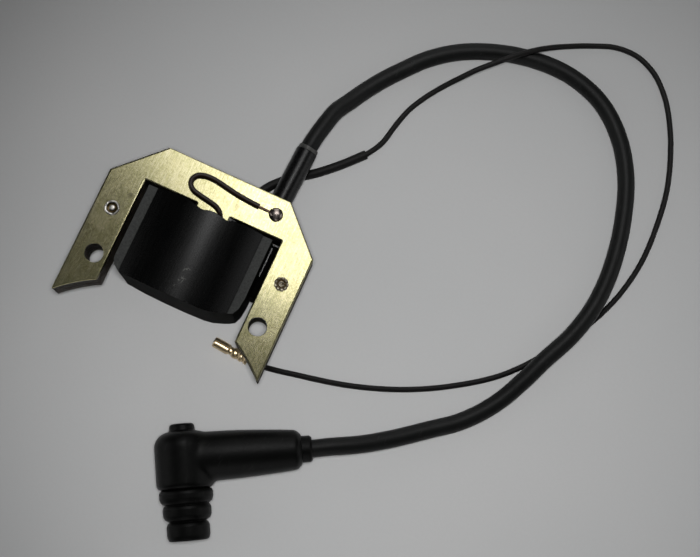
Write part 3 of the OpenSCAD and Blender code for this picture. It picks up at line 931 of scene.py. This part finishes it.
place(sheet_stack(), M_LAMINATION, ["core_laminations"])
for label, outer, inner, node in (
    ("cheek_upper", CORE_Z1, CORE_Z1 - CHEEK_T, "core_cheek_top"),
    ("cheek_lower", CORE_Z0, CORE_Z0 + CHEEK_T, "core_cheek_bottom"),
):
    place(cheek(label, outer, inner), M_PLATED, [node])


def rivet(name, x, profile, wobble):
    return lathe(name, profile, Matrix.Translation((x, RIVET_Y, 0)), 96, wobble=wobble, sharp=45)


def left_rivet():
    """A tube rivet: a dark crease, a turned-over rim, a deep ring groove and a domed core."""
    t = CORE_Z1
    prof = fillet(
        [(0, CORE_Z0 - 0.6), (2.4, CORE_Z0 - 0.6), (2.8, CORE_Z0), (2.0, CORE_Z0), (2.0, t - 0.1),
         (2.95, t - 0.1), (2.95, t + 0.12), (2.55, t + 0.36), (2.2, t + 0.3), (1.95, t - 0.1),
         (1.8, t - 0.7), (1.25, t - 0.75), (1.12, t - 0.1), (1.02, t + 0.32), (0.6, t + 0.41),
         (0, t + 0.44)],
        [0, 0.3, 0.1, 0, 0, 0, 0.1, 0.2, 0.15, 0.15, 0.1, 0.1, 0.15, 0.2, 0.3, 0], 4, closed=False,
    )
    return rivet(
        "rivet_a", -RIVET_X, prof,
        lambda a, r, h: (
            r * (1 + 0.015 * math.sin(5 * a + 0.6) * (h > t)),
            h + (0.03 * math.sin(7 * a) if r > 2.2 and h > t else 0.0),
        ),
    )


def right_rivet():
    """A staked rivet: a notched, flower-like rim, and a small curled core in the middle."""
    t = CORE_Z1
    prof = fillet(
        [(0, CORE_Z0 - 0.6), (2.4, CORE_Z0 - 0.6), (2.8, CORE_Z0), (2.0, CORE_Z0), (2.0, t - 0.1),
         (2.8, t - 0.1), (2.8, t + 0.2), (2.35, t + 0.55), (1.85, t + 0.45), (1.5, t - 0.25),
         (1.3, t - 0.3), (1.12, t + 0.25), (0.85, t + 0.42), (0.5, t + 0.1), (0.3, t + 0.05),
         (0, t + 0.3)],
        [0, 0.3, 0.1, 0, 0, 0, 0.15, 0.25, 0.2, 0.1, 0.1, 0.15, 0.15, 0.1, 0.1, 0], 4,
        closed=False,
    )

    def petals(a, r, h):
        if h > t - 0.05 and r > 1.6:
            notch = max(0.0, math.cos(9 * a + 0.4)) ** 2
            return r * (1 - 0.09 * notch), t + (h - t) * (1 - 0.95 * notch)
        if h > t and r > 0.2:
            gap = math.exp(-((math.remainder(a - 0.5, 2 * math.pi) / 0.4) ** 2))
            return r, h - 0.4 * gap
        return r, h

    return rivet("rivet_b", RIVET_X, prof, petals)


place(left_rivet(), M_RIVET_LEFT, ["rivet_left"])
place(right_rivet(), M_RIVET_RIGHT, ["rivet_right"])


# ---------------------------------------------------------------- solder joint and bare wire
def solder_blob():
    t, rings, seg = CORE_Z1, 18, 56
    prof = []
    for k in range(rings + 1):
        u = k / rings
        r = 2.75 * math.sin(u * math.pi / 2)
        h = t + 2.0 * (1 - u ** 2.2) * (1 - 0.08 * u)
        prof.append((r, h))
    prof.reverse()
    prof = [(0, t)] + [(2.3, t)] + prof

    def lumps(a, r, h):
        n = noise.noise(Vector((math.cos(a) * 1.3, math.sin(a) * 1.3, h * 0.8)))
        toward = max(0.0, math.cos(a - math.pi)) ** 6
        return r * (1 + 0.05 * n) + toward * 0.35 * (h < t + 0.9), h + 0.06 * n * (h > t)

    at_pin = Matrix.Translation((PIN_X, PIN_Y, 0))
    return lathe("solder_joint", prof, at_pin, seg, wobble=lumps, sharp=70)


solder = place(solder_blob(), M_SOLDER, ["earth_solder"])


def bare_strands():
    """The stripped end: seven fine strands with a slight lay, closing in towards the solder."""
    start = Vector((15.2, 27.5, 28.55))
    along = Vector((math.sin(math.radians(95)), 0, math.cos(math.radians(95))))
    along.rotate(Matrix.Rotation(math.radians(-1.5), 3, "Z"))
    side = along.cross(Vector((0, 0, 1))).normalized()
    top = side.cross(along)
    cu = bpy.data.curves.new("bare_end", "CURVE")
    cu.dimensions, cu.resolution_u = "3D", 3
    cu.bevel_depth, cu.bevel_resolution, cu.use_fill_caps = 0.17 * MM, 3, True
    for k in range(7):
        sp = cu.splines.new("POLY")
        sp.points.add(19)
        for i in range(20):
            u = i / 19
            a = k * math.pi / 3 + 2.6 * u
            r = 0.0 if k == 6 else 0.30 - 0.04 * u
            p = start + along * 4.7 * u + (side * math.cos(a) + top * math.sin(a)) * r
            sp.points[i].co = (*(p * MM), 1)
    ob = bpy.data.objects.new("bare_end_curve", cu)
    scene.collection.objects.link(ob)
    deps = bpy.context.evaluated_depsgraph_get()
    me = bpy.data.meshes.new_from_object(ob.evaluated_get(deps))
    me.name = "bare_end"
    mark_sharp(me, 50)
    bpy.data.objects.remove(ob)
    out = bpy.data.objects.new("bare_end", me)
    scene.collection.objects.link(out)
    return out


bare_end = place(bare_strands(), M_COPPER, ["earth_wire_end"])


# ---------------------------------------------------------------- coil moulding
ARC_STEPS = 72


def case_section():
    """Outline of the case in x and z, counter-clockwise."""
    x, sh = CASE_X, SHOULDER_Z
    half = math.asin(BARREL_X / BARREL_R)
    pts = [(-x, sh), (-x, 5.0), (-x + 4.0, 0), (x - 4.0, 0), (x, 5.0), (x, sh)]
    arc = [
        (BARREL_R * math.sin(a), BARREL_ZC + BARREL_R * math.cos(a))
        for a in (half * (1 - 2 * k / ARC_STEPS) for k in range(ARC_STEPS + 1))
    ]
    pts += [(BARREL_X, sh)] + arc + [(-BARREL_X, sh)]
    return pts


# plan of the moulding, counter-clockwise: a slightly bowed front, and the corners cut back
CASE_PLAN = [
    (CASE_X, CASE_BACK), (-CASE_X, CASE_BACK), (-CASE_X, -14.0), (1.2 - CASE_X, -16.4),
    (3.8 - CASE_X, -18.2), (-14, -18.9), (-4.6, -19.2), (4.9, -19.2), (11.9, -18.95),
    (15.7, -18.4), (20, -16.8), (CASE_X - 1.8, -15.0), (CASE_X - 0.5, -12.4), (CASE_X, -8.0),
]
# the ragged edge of the moulding where the wire comes out, over the centre pole
SCALLOP = [
    (-10.5, 18.0), (-9.0, 17.1), (-7.4, 16.5), (-5.2, 15.9), (-3.4, 15.5), (-2.2, 15.4),
    (-1.0, 15.6), (0.4, 16.1), (2.6, 16.3), (4.0, 15.95), (5.8, 15.8), (7.2, 15.45), (8.6, 15.5),
    (9.4, 16.4), (10.8, 16.35), (13.0, 16.6), (15.0, 18.0),
]


def prism(name, loop, z0, z1):
    return plate(name, [loop], [(z0, 0.0), (z1, 0.0)])


def coil_case():
    section = case_section()
    n = len(section)
    y0, y1 = -CASE_FRONT - 3, CASE_BACK
    verts = [(x, y0, z) for x, z in section] + [(x, y1, z) for x, z in section]
    faces = [(i, (i + 1) % n, n + (i + 1) % n, n + i) for i in range(n)]
    faces += [tuple(range(n - 1, -1, -1)), tuple(range(n, 2 * n))]
    ob = mesh_object("coil_moulding", verts, faces)
    boolean(ob, prism("plan", CASE_PLAN, -1.0, CASE_TOP + 1.0), "INTERSECT")
    notch = prism("scallop", fillet(SCALLOP, 0.5, 3), CORE_Z1 + 0.02, CASE_TOP + 1.0)
    boolean(ob, notch, "DIFFERENCE")
    bevel = ob.modifiers.new("bevel", "BEVEL")
    bevel.width, bevel.segments, bevel.limit_method = 0.5 * MM, 3, "ANGLE"
    bevel.angle_limit = math.radians(24)
    bake_modifiers(ob, 25)
    step = fillet(
        [(CASE_X - 0.8, -5.0), (LEDGE_X, -5.0), (LEDGE_X, CASE_BACK), (CASE_X - 0.8, CASE_BACK)],
        [0, 0.8, 0.3, 0], 4,
    )
    rim = [(5.0, 0.3), (5.3, 0.0), (LEDGE_Z - 0.4, 0.0), (LEDGE_Z - 0.12, 0.12), (LEDGE_Z, 0.4)]
    join(ob, plate("ledge", [step], rim))
    # a low, slightly crowned glossy strip on the ledge
    crown = [
        (-0.34, -0.2), (-0.3, 0.1), (-0.15, 0.1045), (0.0, 0.106), (0.15, 0.1045), (0.3, 0.1),
        (0.34, -0.2),
    ]
    ends = (3.6, 15.8)
    verts = [(CASE_X + 0.36 + x, y, LEDGE_Z + z) for y in ends for x, z in crown]
    n = len(crown)
    faces = [(i, (i + 1) % n, n + (i + 1) % n, n + i) for i in range(n)]
    faces += [tuple(range(n - 1, -1, -1)), tuple(range(n, 2 * n))]
    join(ob, mesh_object("strip", verts, faces))
    ob.modifiers.new("normals", "WEIGHTED_NORMAL").keep_sharp = True
    ob.data.materials.append(M_COIL)
    ob.data.materials.append(M_COIL_WALL)
    ob.data.materials.append(M_LEDGE)
    for f in ob.data.polygons:
        if f.center.x > (CASE_X + 0.02) * MM:
            f.material_index = 2 if f.center.z > (LEDGE_Z + 0.02) * MM else 1
        elif abs(f.normal.z) < 0.6:
            f.material_index = 1
    return ob


place(coil_case(), None, ["coil_case"])


def resin_face():
    """The poured resin at the open end: a slightly sunk, lumpy face with beads at its top edge."""
    xs = np.linspace(-24.6, 24.6, 120)
    rows = np.linspace(0.0, 1.0, 80)

    def height(x, v):
        """It stops under the crossbar's top, and a little higher beside the barrel."""
        rise = min(1.0, max(0.0, (abs(x) - 15.2) / 1.5))
        return 1.4 + v * (25.9 + 4.6 * rise - 0.3 * noise.noise(Vector((x * 0.5, 0.0, 5.0))))

    def face_y(x, z):
        n = noise.noise(Vector((x * 0.22, z * 0.22, 3.1)))
        n2 = noise.noise(Vector((x * 0.9, z * 0.9, 7.7)))
        bead = 0.0
        for bx, bz, size, high in (
            (6.4, 27.2, 2.2, 1.7), (9.3, 27.0, 1.5, 1.25), (3.4, 26.2, 1.9, 1.3),
            (-5.2, 28.0, 1.5, 1.1), (-14.0, 28.4, 1.3, 0.9), (14.5, 28.2, 1.6, 0.8),
            (19.4, 6.9, 6.4, 1.1), (9.5, 5.6, 3.2, 0.9),
        ):
            bead += high * math.exp(-(((x - bx) ** 2 + (z - bz) ** 2) / size ** 2))
        return CASE_BACK + 0.12 + 0.22 * n + 0.08 * n2 + min(bead, 1.75)

    def grid(y_at):
        return [(x, y_at(x, height(x, v)), height(x, v)) for v in rows for x in xs]

    verts = grid(face_y) + grid(lambda x, z: CASE_BACK - 1.0)
    w, h = len(xs), len(rows)
    last, base = (h - 1) * w, h * w

    def sheet(first, one, other):
        starts = [first + j * w + i for j in range(h - 1) for i in range(w - 1)]
        return [(a, a + one, a + w + 1, a + other) for a in starts]

    faces = sheet(0, 1, w) + sheet(base, w, 1)
    for a in range(w - 1):
        b = base + a
        faces.append((a, b, b + 1, a + 1))
        faces.append((a + last, a + last + 1, b + last + 1, b + last))
    for a in range(0, last, w):
        b = base + a
        faces.append((a, a + w, b + w, b))
        faces.append((a + w - 1, b + w - 1, b + 2 * w - 1, a + 2 * w - 1))
    return mesh_object("resin_face", verts, faces, sharp=60)


place(resin_face(), M_RESIN, ["potting_resin"])

# ---------------------------------------------------------------- CAD nodes that stay
for node, material in {
    "earth_pin": M_COPPER,
    "bobbin": M_BOBBIN,
    "primary_winding": M_ENAMEL,
    "layer_wrap": M_WRAP,
    "secondary_winding": M_FINE,
    "ht_contact": M_BRASS,
    "plug_clip": M_BRASS,
    "cap_resistor": M_CERAMIC,
    "cap_spring": M_STEEL,
    "lead_screw": M_BRASS,
}.items():
    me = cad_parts[node].data
    me.materials.clear()
    me.materials.append(material)


# ---------------------------------------------------------------- cord lengths
print("cord lengths", [round(route_length(o), 4) for o in (ht_lead, primary_lead, earth_wire)])

# ---------------------------------------------------------------- floor
floor_me = bpy.data.meshes.new("floor")
FLOOR_HALF = 3.0
corners = [(x * FLOOR_HALF, y * FLOOR_HALF, 0) for x, y in ((-1, -1), (1, -1), (1, 1), (-1, 1))]
floor_me.from_pydata(corners, [], [(0, 1, 2, 3)])
floor = bpy.data.objects.new("floor", floor_me)
floor_me.materials.append(M_FLOOR)
scene.collection.objects.link(floor)


# ---------------------------------------------------------------- lights
def aimed(at, target):
    """Matrix of a light or camera at one point that looks at another."""
    direction = Vector(target) - Vector(at)
    return Matrix.Translation(at) @ direction.to_track_quat("-Z", "Y").to_matrix().to_4x4()


def area_light(name, at, target, size, power, color=(1, 1, 1)):
    data = bpy.data.lights.new(name, "AREA")
    data.shape, data.size, data.energy, data.color = "DISK", size, power, color
    ob = bpy.data.objects.new(name, data)
    scene.collection.objects.link(ob)
    ob.matrix_world = aimed(at, target)
    return ob


def keep_off(light, objects):
    """The light doesn't fall on these objects, as if a flag stood between them."""
    group = bpy.data.collections.new(light.name + "_flag")
    for ob in objects:
        group.objects.link(ob)
    light.light_linking.receiver_collection = group
    for item in group.collection_objects:
        item.light_linking.link_state = "EXCLUDE"


def only_on(light, objects):
    """The light falls on these objects alone."""
    group = bpy.data.collections.new(light.name + "_aim")
    for ob in objects:
        group.objects.link(ob)
    light.light_linking.receiver_collection = group


flash_data = bpy.data.lights.new("flash", "SPOT")
flash_data.energy, flash_data.shadow_soft_size = 7.0, 0.04
flash_data.spot_size, flash_data.spot_blend = math.radians(60), 1.0
flash = bpy.data.objects.new("flash", flash_data)
scene.collection.objects.link(flash)
flash.matrix_world = aimed((0.065, -0.055, 0.545), (0.104, 0.004, 0.0))
only_on(flash, [floor, terminal])
window = area_light("window", (-0.010, 0.290, 0.56), (-0.010, 0.290, 0.0), 0.41, 0.84)
keep_off(window, [floor])
glint = area_light("glint", (-0.002, 0.122, 0.56), (-0.002, 0.122, 0.0), 0.05, 0.20)
keep_off(glint, [floor])
area_light("sky", (0.0, 0.0, 1.2), (0.0, 0.0, 0.0), 1.6, 0.5)

# two rings of four lights about the middle of the object
RING_X, RING_Y = 0.06, 0.02
FILL_RADIUS, FILL_HEIGHT = 1.1, 0.7
SIDE_RADIUS, SIDE_HEIGHT = 0.9, 0.16
for k in range(4):
    a = math.radians(20 + 90 * k)
    fill_at = (RING_X + FILL_RADIUS * math.cos(a), FILL_RADIUS * math.sin(a), FILL_HEIGHT)
    area_light(f"fill_{k}", fill_at, (RING_X, RING_Y, 0.0), 0.6, 0.42)
    side_at = (RING_X + SIDE_RADIUS * math.cos(a), SIDE_RADIUS * math.sin(a), SIDE_HEIGHT)
    side = area_light(f"side_{k}", side_at, (RING_X, RING_Y, 0.02), 0.8, 0.9)
    keep_off(side, [floor])

world = bpy.data.worlds.new("world")
world.use_nodes = True
background = world.node_tree.nodes["Background"].inputs
background["Color"].default_value = (0.9, 0.93, 1.0, 1.0)
background["Strength"].default_value = 0.02
scene.world = world
